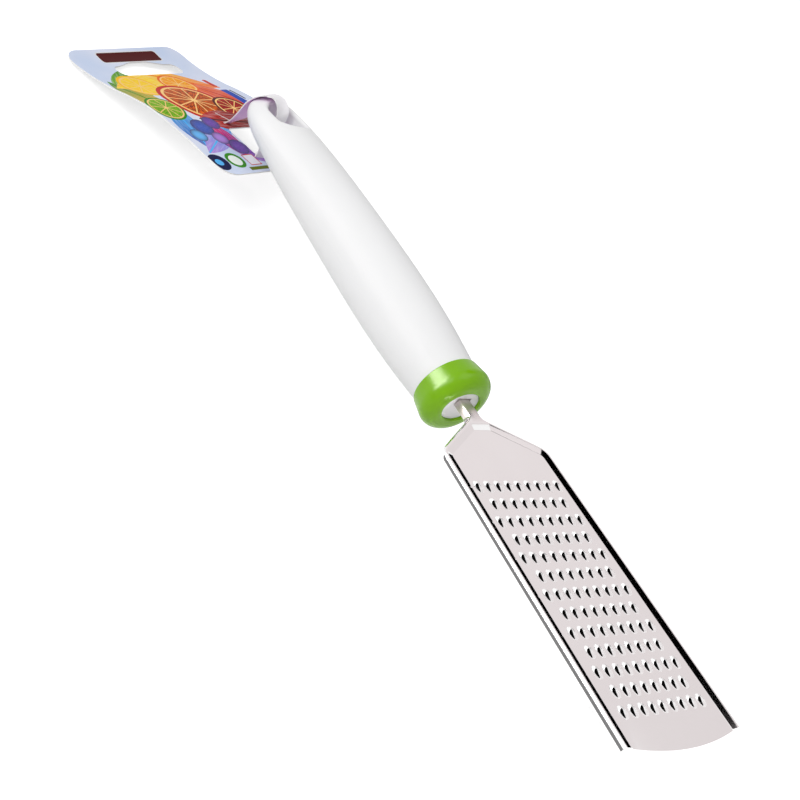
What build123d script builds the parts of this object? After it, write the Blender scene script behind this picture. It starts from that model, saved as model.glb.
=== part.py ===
from build123d import *
import math
import os

# Rasp zester, in millimetres. +Z is up on the toothed side, +Y runs from the tail to the blade's end.
# The origin is the centre of the hanging eyelet, on the handle's axis.

# Handle
handle_length = 139.9
grip_radius = 13.3
tail_reach = 16.2
eyelet_length = 16.5
eyelet_width = 12.5
eyelet_rounding = 1.2
tail_rounding = 0.8
bore_depth = 66.0

# Core, inside the handle and the collar
core_half_width = 7.5
core_half_height = 6.2
core_recess = 1.0
glue_gap = 0.1
tang_gap = 0.1
slot_headroom = 0.6

# Collar
collar_length = 10.9
collar_back_radius = 11.8
collar_flare = 2.1
collar_front_rounding = 4.6
collar_back_rounding = 0.5
collar_mouth_rounding = 0.3

# Blade
sheet = 0.6
panel_height = 2.0
rim_rise = 0.7
flange_drop = 1.8
tang_width = 6.0
tang_insert = 50.0
tang_trim = 0.5
neck_reach = 6.7
shoulder_angle = 30.5
shoulder_half_width = 25.5
end_half_width = 28.8
flange_length = 121.2
tongue_reach = 6.0
tongue_sagitta = 3.0
rim_width = 3.6
bend_radius = 1.2
neck_rounding = 2.5
shoulder_rounding = 6.0
recess_neck_half_width = 5.0
recess_start = 5.2
recess_rounding = 3.0

# Teeth: rows of alternating length, the short ones staggered by half a pitch
teeth_in_long_row = 9
column_pitch = 4.8
row_pitch = 7.0
first_row_reach = 27.5
last_row_margin = 9.0
tooth_radius = 2.0
tooth_height = 1.0
tooth_sink = 0.15
tooth_wall = 0.35
tooth_hole_radius = 0.85
tooth_hole_offset = 1.1

# Hang tag
card_width = 63.0
card_thickness = 0.5
card_corner = 6.5
card_yaw = 15.4
card_offset = -1.5
card_pivot_y = -9.6
card_near_reach = 17.2
card_far_reach = 68.3
card_near_drop = 13.3
card_far_drop = 30.7
strap_width = 7.5
strap_offset = 1.25
strap_thickness = 0.5
strap_root_drop = 13.9
strap_tip_drop = 18.8
slit_gap = 0.4
loop_centre_y = -9.0
loop_centre_z = 0.3
loop_inner_radius = 7.1
loop_back_angle = 168.0
loop_front_angle = 8.0
window_length = 16.0
window_width = 15.5
window_offset = -4.25
window_centre = 0.0
window_corner = 1.5
euro_slot_margin = 14.0
euro_slot_height = 7.0
euro_slot_rounding = 2.9
euro_slot_hump = 5.0
euro_slot_hump_shift = 1.0
euro_slot_offset = -4.2
euro_slot_edge = 14.3

# One overrun for every cut that runs past a face
overrun = 5.0

# Worked out from the sizes above
seam_y = handle_length - tail_reach
collar_front_y = seam_y + collar_length
core_front_y = collar_front_y - core_recess
core_back_y = seam_y - bore_depth + glue_gap
crest_height = panel_height + rim_rise
flange_height = panel_height - flange_drop
neck_y = collar_front_y + neck_reach
tang_back_y = core_front_y - tang_insert
flange_end_y = neck_y + flange_length
recess_start_y = neck_y + recess_start
first_row_y = neck_y + first_row_reach
row_count = 1 + int((flange_length - first_row_reach - last_row_margin) / row_pitch)
slope = math.tan(math.radians(shoulder_angle))
shoulder_y = neck_y + (shoulder_half_width - tang_width / 2) * slope
corner_shift = math.tan(math.radians((90 - shoulder_angle) / 2))
slope_shift = math.tan(math.radians(shoulder_angle / 2))
euro_slot_reach = card_far_reach - euro_slot_edge

# The handle's sections from the tail on: share of its length, then half width, half height and
# rise of the middle as shares of the grip's radius
grip_section_shares = (
    (0.0, 0.19, 0.13, 0.08),
    (0.012, 0.44, 0.27, 0.08),
    (0.037, 0.68, 0.41, 0.08),
    (0.087, 0.87, 0.53, 0.065),
    (0.159, 0.925, 0.65, 0.03),
    (0.259, 0.935, 0.78, 0.0),
    (0.387, 0.94, 0.885, 0.0),
    (0.53, 0.96, 0.955, 0.0),
    (0.673, 0.99, 0.99, 0.0),
    (0.816, 0.98, 0.98, 0.0),
    (0.916, 0.925, 0.925, 0.0),
    (1.0, 0.845, 0.845, 0.0),
)

# The card's dips along its length, as shares of its reach and of its drop, from the far edge to the near one
card_dip_shares = ((1.0, 1.0), (0.735, 0.91), (0.48, 0.705), (0.22, 0.55))


def across(y):
    """A plane square to the handle's axis at y, with its own y axis pointing down."""
    return Plane(origin=(0, y, 0), x_dir=(1, 0, 0), z_dir=(0, 1, 0))


def oval_prism(half_width, half_height, start_y, end_y):
    """A straight oval bar along the handle's axis."""
    return extrude(across(start_y) * Ellipse(half_width, half_height), end_y - start_y)


def block(x_range, y_range, z_range):
    """A box between three pairs of limits."""
    size = [high - low for low, high in (x_range, y_range, z_range)]
    middle = [(high + low) / 2 for low, high in (x_range, y_range, z_range)]
    return Pos(*middle) * Box(*size)


def grip_section(share, wide, high, rise):
    """One oval section of the handle, from a row of its table."""
    middle = Pos(0, 0, grip_radius * rise) * across(share * handle_length - tail_reach)
    return (middle * Ellipse(grip_radius * wide, grip_radius * high)).face()


def make_handle_body():
    """The barrel, its flattened tail with the eyelet, and the blind bore for the core."""
    blank = loft([grip_section(*row) for row in grip_section_shares])
    blank = fillet(blank.faces().sort_by(Axis.Y)[0].edges(), tail_rounding)
    eyelet = extrude(Rot(0, 0, 90) * SlotOverall(eyelet_length, eyelet_width), grip_radius, both=True)
    body = blank - eyelet
    rims = new_edges(blank, combined=body).filter_by(Axis.Z, reverse=True)
    body = fillet(rims, eyelet_rounding)
    bore = oval_prism(
        core_half_width + glue_gap, core_half_height + glue_gap, seam_y - bore_depth, seam_y + overrun
    )
    return body - bore


def make_handle_core():
    """The oval bar that joins handle, collar and tang, with the tang's slot in its front."""
    core = oval_prism(core_half_width, core_half_height, core_back_y, core_front_y)
    half_slot = tang_width / 2 + tang_gap
    slot = block(
        (-half_slot, half_slot),
        (tang_back_y - tang_gap, core_front_y + overrun),
        (flange_height + tang_trim - tang_gap, crest_height + slot_headroom),
    )
    return core - slot


def make_collar_ring():
    """The flared ring with its big front rounding and oval mouth."""
    ring = across(seam_y) * Pos(0, 0, collar_length / 2) * Cone(
        collar_back_radius, collar_back_radius + collar_flare, collar_length
    )
    ends = ring.edges().sort_by(Axis.Y)
    ring = fillet(ends[-1], collar_front_rounding)
    ring = fillet(ring.edges().sort_by(Axis.Y)[0], collar_back_rounding)
    ring = ring - oval_prism(
        core_half_width + glue_gap,
        core_half_height + glue_gap,
        seam_y - overrun,
        collar_front_y + overrun,
    )
    mouth = ring.edges().group_by(Axis.Y)[-1].sort_by(SortBy.LENGTH)[0]
    return fillet(mouth, collar_mouth_rounding)


def half_width_at(y):
    """The blade's half width at y on its long sides, which widen towards the end."""
    share = (y - shoulder_y) / (flange_end_y - shoulder_y)
    return shoulder_half_width + share * (end_half_width - shoulder_half_width)


def nearest(shape, points):
    """The corners of a flat shape that lie at the points, on both sides of the middle."""
    corners = []
    for x, y in points:
        for side in (-1, 1):
            corners.append(shape.vertices().sort_by_distance((side * x, y, 0))[0])
    return corners


def mirrored_outline(half_points):
    """A flat face from the right half of an outline, listed from the handle to the blade's end."""
    right = [(x, y) for x, y in half_points]
    left = [(-x, y) for x, y in reversed(half_points)]
    return make_face(Polyline(*right, *left, close=True))


def blade_outline(inset, end_y):
    """The blade's outline from the tang to end_y, drawn in by inset on its sides."""
    neck = (tang_width / 2 - inset, neck_y + inset * corner_shift)
    shoulder = (shoulder_half_width - inset, shoulder_y + inset * corner_shift)
    side = (half_width_at(end_y) - inset, end_y)
    outline = mirrored_outline([(tang_width / 2 - inset, tang_back_y), neck, shoulder, side])
    outline = fillet(nearest(outline, [neck]), neck_rounding + inset)
    return fillet(nearest(outline, [shoulder]), shoulder_rounding - inset)


def recess_outline(growth, end_y):
    """The sunk panel's outline inside the rim, grown by growth on its sides."""
    panel_half_width = shoulder_half_width - rim_width
    shoulder_top = recess_start_y + (panel_half_width - recess_neck_half_width) * slope
    corners = [
        (recess_neck_half_width + growth * slope_shift, recess_start_y - growth),
        (panel_half_width + growth, shoulder_top - growth * corner_shift),
    ]
    side = (half_width_at(end_y) - rim_width - rim_rise + growth, end_y)
    outline = mirrored_outline(corners + [side])
    return fillet(nearest(outline, corners), recess_rounding + growth)


def tooth_places():
    """Where each tooth stands: long and short rows in turn."""
    places = []
    for row in range(row_count):
        count = teeth_in_long_row - row % 2
        for column in range(count):
            x = (column - (count - 1) / 2) * column_pitch
            places.append((x, first_row_y + row * row_pitch))
    return places


def cap(radius, height, base_height):
    """A shallow dome that rises by height from base_height, as wide as radius at its base."""
    ball_radius = (radius**2 + height**2) / (2 * height)
    ball = Pos(0, 0, base_height + height - ball_radius) * Sphere(ball_radius)
    return ball & block((-radius, radius), (-radius, radius), (base_height, base_height + height))


def flat_bar(outline, bottom, top):
    """A flat outline made solid from height bottom to top."""
    return Pos(0, 0, bottom) * extrude(outline, top - bottom)


def bent_bar(outline, bottom, top, radius):
    """A flat outline made solid, with its long upper edges bent over at radius."""
    bar = flat_bar(outline, bottom, top)
    top_edges = bar.faces().sort_by(Axis.Z)[-1].edges()
    return fillet([edge for edge in top_edges if edge.bounding_box().size.Y > sheet], radius)


def blade_tongue():
    """The plain end: the panel alone runs on past the flanges and ends in an arc."""
    half = half_width_at(flange_end_y) - rim_width - rim_rise
    back_y = flange_end_y - sheet
    side_y = flange_end_y + tongue_reach - tongue_sagitta
    return make_face(
        [
            Polyline((-half, side_y), (-half, back_y), (half, back_y), (half, side_y)),
            ThreePointArc((half, side_y), (0, flange_end_y + tongue_reach), (-half, side_y)),
        ]
    )


def make_rasp_blade():
    """The stamped sheet: flanges, recessed panel, plain end, U-shaped tang and raised teeth."""
    panel_bottom = panel_height - sheet
    outer = bent_bar(blade_outline(0, flange_end_y), flange_height, crest_height, bend_radius)
    inner = bent_bar(
        blade_outline(sheet, flange_end_y + overrun),
        flange_height - overrun,
        crest_height - sheet,
        bend_radius - sheet,
    )
    recess = flat_bar(recess_outline(0, flange_end_y + overrun), panel_height, crest_height + overrun)
    panel_room = flat_bar(
        recess_outline(sheet, flange_end_y + 2 * overrun), panel_bottom, crest_height + overrun
    )
    blade = outer - recess - (inner - panel_room)
    blade = blade + flat_bar(blade_tongue(), panel_bottom, panel_height)
    blade = blade - block(
        (-tang_width, tang_width),
        (tang_back_y - overrun, neck_y - neck_rounding),
        (flange_height - overrun, flange_height + tang_trim),
    )
    domes, hollows, holes = [], [], []
    for x, y in tooth_places():
        place = Pos(x, y)
        domes.append(place * cap(tooth_radius, tooth_height, panel_height - tooth_sink))
        hollows.append(place * cap(tooth_radius - tooth_wall, tooth_height, panel_bottom))
        hole = Pos(0, tooth_hole_offset, panel_height) * Cylinder(tooth_hole_radius, overrun)
        holes.append(place * hole)
    return (blade + domes) - hollows - holes


def card_slab():
    """The bent card as a plain strip, before its outline is cut."""
    far = [(-card_far_reach * reach, -card_far_drop * drop) for reach, drop in card_dip_shares]
    under = far + [(card_near_reach, -card_near_drop)]
    over = [(y, z + card_thickness) for y, z in reversed(under)]
    section = make_face(
        [
            Spline(*under),
            Line(under[-1], over[0]),
            Spline(*over),
            Line(over[-1], under[0]),
        ]
    )
    return Pos(card_offset, 0, 0) * extrude(Plane.YZ * section, card_width / 2 + overrun, both=True)


def euro_slot():
    """The hanging slot of the card: a bar with a hump over its middle."""
    bar = RectangleRounded(card_width - 2 * euro_slot_margin, euro_slot_height, euro_slot_rounding)
    hump = Pos(0, -euro_slot_hump_shift) * Circle(euro_slot_hump)
    return Pos(euro_slot_offset, -euro_slot_reach) * (bar + hump)


def upright(plan):
    """A flat plan made a tall bar that passes right through the card."""
    return extrude(plan, 2 * card_far_drop, both=True)


def polar(radius, angle):
    """A point at radius and angle, in degrees."""
    return (radius * math.cos(math.radians(angle)), radius * math.sin(math.radians(angle)))


def strap_leg(angle, end_drop, growth):
    """The section of a straight leg that leaves the loop at angle, grown by growth on its faces."""
    middle = loop_inner_radius + strap_thickness / 2
    downward = -math.cos(math.radians(angle))
    length = (loop_centre_z + polar(middle, angle)[1] + end_drop) / abs(downward)
    place = Rot(0, 0, angle) * Pos(middle, math.copysign(length / 2, downward))
    return place * Rectangle(strap_thickness + 2 * growth, length)


def strap_solid(section, growth):
    """A strap section, drawn square to the hinge, made as wide as the strap grown by growth."""
    placed = Plane.YZ * Pos(loop_centre_y, loop_centre_z) * section
    return Pos(strap_offset, 0, 0) * extrude(placed, strap_width / 2 + growth, both=True)


def make_strap():
    """The strap: a leg up from the slit, the loop over the tail's end bar and a leg down to the card."""
    outer = loop_inner_radius + strap_thickness
    quarter = (loop_back_angle - loop_front_angle) / 4
    fan = [polar(2 * outer, loop_front_angle + step * quarter) for step in range(5)]
    arch = (Circle(outer) - Circle(loop_inner_radius)) & make_face(Polyline((0, 0), *fan, close=True))
    back = strap_leg(loop_back_angle, strap_tip_drop, 0)
    front = strap_leg(loop_front_angle, strap_root_drop, 0)
    return strap_solid(arch + back + front, 0)


def make_hang_tag():
    """The bent card with its hanging slot, window and slit, and the strap looped over the end bar."""
    plan = Pos(card_offset, (card_near_reach - card_far_reach) / 2) * RectangleRounded(
        card_width, card_near_reach + card_far_reach, card_corner
    )
    window = Pos(window_offset, window_centre) * RectangleRounded(window_width, window_length, window_corner)
    card = (card_slab() & upright(plan)) - upright(euro_slot()) - upright(window)
    card = Pos(0, card_pivot_y, 0) * Rot(0, 0, card_yaw) * card
    slit = strap_solid(strap_leg(loop_back_angle, strap_tip_drop, slit_gap), slit_gap)
    return (card - slit) + make_strap()


def main():
    os.makedirs("parts", exist_ok=True)
    makers = {
        "rasp_blade": make_rasp_blade,
        "handle_body": make_handle_body,
        "handle_core": make_handle_core,
        "collar_ring": make_collar_ring,
        "hang_tag": make_hang_tag,
    }
    for name, make in makers.items():
        export_step(make(), f"parts/{name}.step")


main()
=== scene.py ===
"""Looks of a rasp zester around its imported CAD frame: blade, teeth, handle, collar and hang tag."""

import math
from bisect import bisect_right

import bmesh
import bpy
from bpy.props import FloatProperty, FloatVectorProperty, IntProperty, PointerProperty
from mathutils import Matrix, Vector
from mathutils.geometry import delaunay_2d_cdt


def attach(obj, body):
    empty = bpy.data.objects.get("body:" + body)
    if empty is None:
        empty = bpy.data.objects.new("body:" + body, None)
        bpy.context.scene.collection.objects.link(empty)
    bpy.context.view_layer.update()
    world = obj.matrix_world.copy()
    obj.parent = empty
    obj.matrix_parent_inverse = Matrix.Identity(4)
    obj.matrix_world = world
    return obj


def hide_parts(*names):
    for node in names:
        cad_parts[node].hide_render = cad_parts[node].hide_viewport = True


bl_info = {
    "name": "Rasp Zester",
    "version": (1, 0, 0),
    "blender": (4, 5, 0),
    "location": "View3D > Sidebar > Rasp Zester",
    "description": "Dresses the packed rasp zester: blade, teeth, handle, collar and hang tag",
    "category": "Object",
}

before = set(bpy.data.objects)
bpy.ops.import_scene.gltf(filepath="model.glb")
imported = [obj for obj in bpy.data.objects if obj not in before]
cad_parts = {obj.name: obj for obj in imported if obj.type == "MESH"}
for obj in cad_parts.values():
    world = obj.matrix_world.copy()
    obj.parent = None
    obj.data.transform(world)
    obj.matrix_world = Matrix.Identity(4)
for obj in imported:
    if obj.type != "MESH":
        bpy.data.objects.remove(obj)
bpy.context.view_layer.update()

MM = 0.001
# Lengths in metres that count as nothing, and that merge points
TINY, MERGE, MERGE_FILL = 1e-6, 2e-6, 1e-7
# Bends in degrees above which an edge is sharp, of sheets and of teeth
SHEET_SHARP, TEETH_SHARP = 35.0, 50.0


def length(name, text, millimetres):
    """A property that holds a size in metres, given here in millimetres."""
    return FloatProperty(name=name, description=text, default=millimetres * MM, unit="LENGTH")


def colour(name, text, default):
    """A property that holds a linear colour."""
    return FloatVectorProperty(
        name=name, description=text, default=default, size=3, subtype="COLOR", min=0.0, max=1.0
    )


def count(name, text, default, least):
    """A property that holds a whole number."""
    return IntProperty(name=name, description=text, default=default, min=least)


def power(name, text, default):
    """A property that holds a lamp's power."""
    return FloatProperty(name=name, description=text, default=default, unit="POWER")


class BladeSettings(bpy.types.PropertyGroup):
    """Sizes and colours of the stamped sheet."""

    sheet: length("Sheet", "Thickness of the steel", 0.6)
    tang_half: length("Tang half width", "Half width of the tang", 3.0)
    tang_back: length("Tang back", "Where the tang ends inside the core", 83.6)
    neck: length("Neck", "Where the tang opens into the shoulders", 141.3)
    shoulder_half: length("Shoulder half width", "Half width where the long sides start", 25.5)
    end_half: length("End half width", "Half width at the flanges' end", 28.8)
    flange_end: length("Flange end", "Where the flanges end", 265.0)
    tongue_end: length("Plain end", "Where the plain end reaches", 268.5)
    recess_start: length("Panel start", "Where the sunk panel starts", 146.3)
    panel_height: length("Panel height", "Height of the sunk panel", 2.0)
    steel: colour("Steel", "Colour of the polished steel", (0.94, 0.935, 0.935))
    steel_dark: colour("Steel, worn", "Colour in the steel's finest marks", (0.90, 0.89, 0.89))
    # The tang's colour is darker and browner than the sheet's, fading in behind the neck
    steel_tang: colour("Steel, tang", "Colour of the duller tang", (0.66, 0.60, 0.59))
    # Painted shade: the near-black colour inside the openings stands for the shadow there
    opening_shade: colour("Punched wall", "Colour inside the openings", (0.003, 0.003, 0.003))


class ToothSettings(bpy.types.PropertyGroup):
    """Sizes of the raised teeth and their grid."""

    rows: count("Rows", "Rows of teeth", 13, 1)
    in_row: count("Teeth in a long row", "Short rows have one less", 9, 2)
    column_pitch: length("Column pitch", "Spacing across the blade", 4.8)
    row_pitch: length("Row pitch", "Spacing along the blade", 7.0)
    first_row: length("First row", "Where the first row stands", 169.7)
    half_width: length("Half width", "Half width of a tooth's foot", 2.05)
    half_length: length("Half length", "Half length of a tooth's foot", 2.5)
    height: length("Height", "Height of a tooth's hood", 0.7)
    wall: length("Wall", "Thickness of a tooth's wall", 0.28)


class HandleSettings(bpy.types.PropertyGroup):
    """Colours of the handle, its core and the collar."""

    plastic: colour("Handle", "Satin plastic of the handle", (0.87, 0.87, 0.875))
    core: colour("Core", "Plastic of the core", (0.92, 0.91, 0.93))
    collar: colour("Collar", "Gloss plastic of the collar", (0.20, 0.46, 0.0))


class TagSettings(bpy.types.PropertyGroup):
    """Sizes and colours of the card and its strap."""

    card_thickness: length("Card thickness", "Thickness of the card", 0.5)
    strap_thickness: length("Strap thickness", "Thickness of the strap", 0.45)
    strap_outside: colour("Strap outside", "Outer face of the strap", (0.94, 0.92, 0.95))
    strap_inside: colour("Strap inside", "Printed inner face of the strap", (0.96, 0.60, 0.97))
    ground: colour("Ground", "Pale ground of the print", (0.58, 0.67, 0.86))
    ground_pale: colour("Pale ground", "Lightest part of the ground", (0.76, 0.78, 0.90))
    back: colour("Back", "Unprinted back of the card", (0.86, 0.86, 0.86))


class StudioSettings(bpy.types.PropertyGroup):
    """Camera, lamps and floor."""

    lens: FloatProperty(name="Lens", description="Focal length, 36 mm sensor", default=82.05)
    floor_height: length("Floor", "Height of the floor under the tag", -31.7)
    floor_colour: colour("Floor colour", "Colour of the floor", (0.85, 0.85, 0.85))
    key_power: power("Key", "Power of the key lamp", 7.4)
    top_power: power("Top", "Power of the lamp overhead", 2.5)


class ZesterSettings(bpy.types.PropertyGroup):
    """Everything a user would change."""

    blade: PointerProperty(type=BladeSettings)
    tooth: PointerProperty(type=ToothSettings)
    handle: PointerProperty(type=HandleSettings)
    tag: PointerProperty(type=TagSettings)
    studio: PointerProperty(type=StudioSettings)


def settings():
    """All the settings of this file, kept on the scene."""
    return bpy.context.scene.rasp_zester


# Node building


class Wire:
    """An output socket that sums can be written with: each operation adds a Math node."""

    def __init__(self, socket):
        self.socket = socket
        self.tree = socket.id_data

    def __add__(self, other):
        return maths("ADD", self, other)

    def __sub__(self, other):
        return maths("SUBTRACT", self, other)

    def __rsub__(self, other):
        return maths("SUBTRACT", other, self)

    def __mul__(self, other):
        return maths("MULTIPLY", self, other)

    def __truediv__(self, other):
        return maths("DIVIDE", self, other)

    def __mod__(self, other):
        return maths("MODULO", self, other)

    def __lt__(self, other):
        return maths("LESS_THAN", self, other)

    def __gt__(self, other):
        return maths("GREATER_THAN", self, other)


def opaque(shade):
    """A colour with full alpha, from three numbers or one."""
    if isinstance(shade, (int, float)):
        shade = (shade, shade, shade)
    return (shade[0], shade[1], shade[2], 1.0)


def set_inputs(node, values):
    """Links the inputs whose value is a wire and sets the others; one number makes a grey."""
    for key, value in values.items():
        socket = node.inputs[key]
        if isinstance(value, Wire):
            value.tree.links.new(value.socket, socket)
        elif socket.type == "RGBA":
            socket.default_value = opaque(value)
        else:
            socket.default_value = value


def add_node(tree, kind, values=(), **attributes):
    """A node of the tree with its attributes and inputs."""
    node = tree.nodes.new(kind)
    for key, value in attributes.items():
        setattr(node, key, value)
    set_inputs(node, dict(values))
    return node


def wire(tree, kind, values=(), output=0, **attributes):
    """One output of a new node."""
    return Wire(add_node(tree, kind, values, **attributes).outputs[output])


def maths(operation, *values):
    """The output of a Math node whose inputs are wires or numbers."""
    tree = next(value.tree for value in values if isinstance(value, Wire))
    return wire(tree, "ShaderNodeMath", dict(enumerate(values)), operation=operation)


def mix(mask, under, over):
    """The colour over laid on the colour under where the mask is 1."""
    values = {0: mask, 6: under, 7: over}
    return wire(mask.tree, "ShaderNodeMix", values, 2, data_type="RGBA")


def ramp(source, stops):
    """The colour output of a ramp over source; stops are (position, colour)."""
    node = add_node(source.tree, "ShaderNodeValToRGB", {0: source})
    for element, (position, shade) in zip(node.color_ramp.elements, stops):
        element.position = position
        element.color = opaque(shade)
    return Wire(node.outputs[0])


def new_material(name):
    """A material with its Principled shader: (material, tree, shader)."""
    material = bpy.data.materials.new(name)
    material.use_nodes = True
    return material, material.node_tree, material.node_tree.nodes["Principled BSDF"]


def object_place(tree):
    """Object coordinates."""
    return wire(tree, "ShaderNodeTexCoord", output="Object")


def noise(place, scale, detail=3.0, roughness=0.5):
    """The value output of a noise texture."""
    values = {"Vector": place, "Scale": scale, "Detail": detail, "Roughness": roughness}
    return wire(place.tree, "ShaderNodeTexNoise", values)


def plane_noise(x, y, scale, detail=3.0):
    """Noise over a plane of two wires."""
    return noise(wire(x.tree, "ShaderNodeCombineXYZ", {0: x, 1: y}), scale, detail)


def bump(height, strength, distance):
    """The normal that a height gives."""
    values = {"Height": height, "Strength": strength, "Distance": distance}
    return wire(height.tree, "ShaderNodeBump", values, "Normal")


def new_tree(name, kind, inputs, outputs):
    """A node group with its sockets, label to type: (tree, wires of its inputs)."""
    tree = bpy.data.node_groups.new(name, kind)
    for direction, sockets in (("INPUT", inputs), ("OUTPUT", outputs)):
        for label, data in sockets.items():
            tree.interface.new_socket(label, in_out=direction, socket_type="NodeSocket" + data)
    given = add_node(tree, "NodeGroupInput").outputs
    return tree, {label: Wire(given[label]) for label in inputs}


def shader_group(name, inputs, outputs, draw):
    """The shader node group of a name; the first time, draw gives what its outputs carry."""
    if name not in bpy.data.node_groups:
        tree, given = new_tree(name, "ShaderNodeTree", inputs, outputs)
        set_inputs(add_node(tree, "NodeGroupOutput"), draw(given))
    return bpy.data.node_groups[name]


SMUDGE_SCALE = 40.0
SKIN_INPUTS = {
    "Grain Scale": "Float", "Rough Low": "Float", "Rough High": "Float",
    "Tint": "Color", "Shade": "Color",
}
SKIN_OUTPUTS = {"Color": "Color", "Roughness": "Float", "Height": "Float"}
SKIN_RELIEF = 0.1 * MM
# Looks of the plastics and the strap
HANDLE_LOOK = {"darken": 0.97, "roughness": (0.32, 0.38), "grain": 2200.0, "specular": 0.02}
CORE_LOOK = {"darken": 0.96, "roughness": (0.40, 0.46), "grain": 2200.0}
COLLAR_LOOK = {
    "darken": 0.92, "roughness": (0.22, 0.26), "grain": 1500.0, "specular": 0.25, "relief": 0.02
}
STRAP_LOOK = {"darken": 0.95, "roughness": (0.45, 0.55), "grain": 700.0, "specular": 0.2}
STRAP_PRINT_LOOK = {"darken": 0.9, "roughness": (0.35, 0.45), "grain": 700.0, "specular": 0.2}


def draw_skin(given):
    """Fine moulded grain with faint smudges."""
    place = object_place(given["Tint"].tree)
    smudge = noise(place, SMUDGE_SCALE, detail=4.0, roughness=0.6)
    reach = {"Value": smudge, "To Min": given["Rough Low"], "To Max": given["Rough High"]}
    return {
        "Color": mix(smudge, given["Tint"], given["Shade"]),
        "Roughness": wire(place.tree, "ShaderNodeMapRange", reach),
        "Height": noise(place, given["Grain Scale"], detail=2.0),
    }


def plastic_material(name, tint, darken, roughness, grain, specular=0.5, relief=0.05):
    """A moulded plastic: tint, how much its smudges darken it, roughness range, grain scale."""
    material, tree, shader = new_material(name)
    group = shader_group("Moulded Skin", SKIN_INPUTS, SKIN_OUTPUTS, draw_skin)
    values = {
        "Grain Scale": grain,
        "Rough Low": roughness[0],
        "Rough High": roughness[1],
        "Tint": tint,
        "Shade": [part * darken for part in tint],
    }
    skin = add_node(tree, "ShaderNodeGroup", values, node_tree=group).outputs
    set_inputs(shader, {
        "Base Color": Wire(skin["Color"]),
        "Roughness": Wire(skin["Roughness"]),
        "Specular IOR Level": specular,
        "Normal": bump(Wire(skin["Height"]), relief, SKIN_RELIEF),
    })
    return material


# The steel's grain is stretched along the blade; its noises and the tang add to its roughness
GRAIN_STRETCH = (2600.0, 60.0, 2600.0)
GRAIN_RELIEF = 0.0006 * MM
STAIN_SCALE = 55.0
STEEL_ROUGH, NOISE_ROUGH, TANG_ROUGH = 0.03, 0.03, 0.3
# Where the tang's rougher, darker and browner look fades into the polished sheet, from the neck
DULL_FROM, DULL_TO = 2 * MM, -3 * MM


def steel_material(name, dull):
    """Stainless sheet with a fine grain and faint stains; dull is added to its roughness."""
    blade = settings().blade
    material, tree, shader = new_material(name)
    place = object_place(tree)
    along = wire(tree, "ShaderNodeMapping", {"Vector": place, "Scale": GRAIN_STRETCH})
    grain = noise(along, scale=1.0, detail=2.0)
    stain = noise(place, STAIN_SCALE, detail=4.0, roughness=0.6)
    y = wire(tree, "ShaderNodeSeparateXYZ", {0: place}, 1)
    reach = {"Value": y, "From Min": blade.neck + DULL_FROM, "From Max": blade.neck + DULL_TO}
    tang = wire(tree, "ShaderNodeMapRange", reach)
    rough = maths("MULTIPLY_ADD", grain, NOISE_ROUGH, STEEL_ROUGH + dull)
    rough = maths("MULTIPLY_ADD", stain, NOISE_ROUGH, rough)
    tone = mix(stain, blade.steel, blade.steel_dark)
    set_inputs(shader, {
        "Base Color": mix(tang, tone, blade.steel_tang),
        "Metallic": 1.0,
        "Roughness": maths("MULTIPLY_ADD", tang, TANG_ROUGH, rough),
        "Normal": bump(grain, strength=0.05, distance=GRAIN_RELIEF),
    })
    return material


def opening_shade_material():
    """Painted shade on the walls inside the openings: near black with faint specks."""
    material, tree, shader = new_material("Punched Wall")
    dark = settings().blade.opening_shade
    speck = noise(object_place(tree), scale=1500.0, detail=2.0)
    tone = mix(speck, dark, [2.0 * part for part in dark])
    set_inputs(shader, {"Base Color": tone, "Specular IOR Level": 0.0, "Roughness": 0.8})
    return material


# Mesh building


def linked(name, data):
    """An object with its data, in the scene's collection."""
    made = bpy.data.objects.new(name, data)
    bpy.context.scene.collection.objects.link(made)
    return made


def new_mesh(name, vertices, faces, materials):
    """A mesh of the vertices and faces with its materials."""
    mesh = bpy.data.meshes.new(name)
    mesh.from_pydata([tuple(v) for v in vertices], [], faces)
    mesh.validate()
    for material in materials:
        mesh.materials.append(material)
    return mesh


def finish_piece(piece, body, replaced):
    """Hangs a piece on its body's empty and hides the CAD node that it stands in for."""
    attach(piece, body)
    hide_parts(replaced)


def apply_modifiers(piece, smooth):
    """Turns a piece and its modifiers into a plain mesh, sharp where it bends more than smooth."""
    graph = bpy.context.evaluated_depsgraph_get()
    graph.update()
    mesh = bpy.data.meshes.new_from_object(piece.evaluated_get(graph))
    old = piece.data
    piece.modifiers.clear()
    mesh.name = old.name
    piece.data = mesh
    bpy.data.meshes.remove(old)
    mesh.shade_smooth()
    mesh.set_sharp_from_angle(angle=math.radians(smooth))


def thicken(piece, thickness, offset, **options):
    """Gives a skin its thickness."""
    solid = piece.modifiers.new("Thickness", "SOLIDIFY")
    solid.thickness = thickness
    solid.offset = offset
    for key, value in options.items():
        setattr(solid, key, value)
    apply_modifiers(piece, SHEET_SHARP)


def merge_close(mesh):
    """Merges a mesh's doubles and drops its flat faces."""
    work = bmesh.new()
    work.from_mesh(mesh)
    bmesh.ops.remove_doubles(work, verts=work.verts, dist=MERGE)
    bmesh.ops.dissolve_degenerate(work, dist=MERGE, edges=work.edges)
    work.to_mesh(mesh)
    work.free()


def within(point, loop):
    """Whether a point lies within a closed loop."""
    hit = False
    for a, b in zip(loop, loop[1:] + loop[:1]):
        if (a[1] > point[1]) != (b[1] > point[1]):
            if point[0] < (b[0] - a[0]) * (point[1] - a[1]) / (b[1] - a[1]) + a[0]:
                hit = not hit
    return hit


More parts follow.
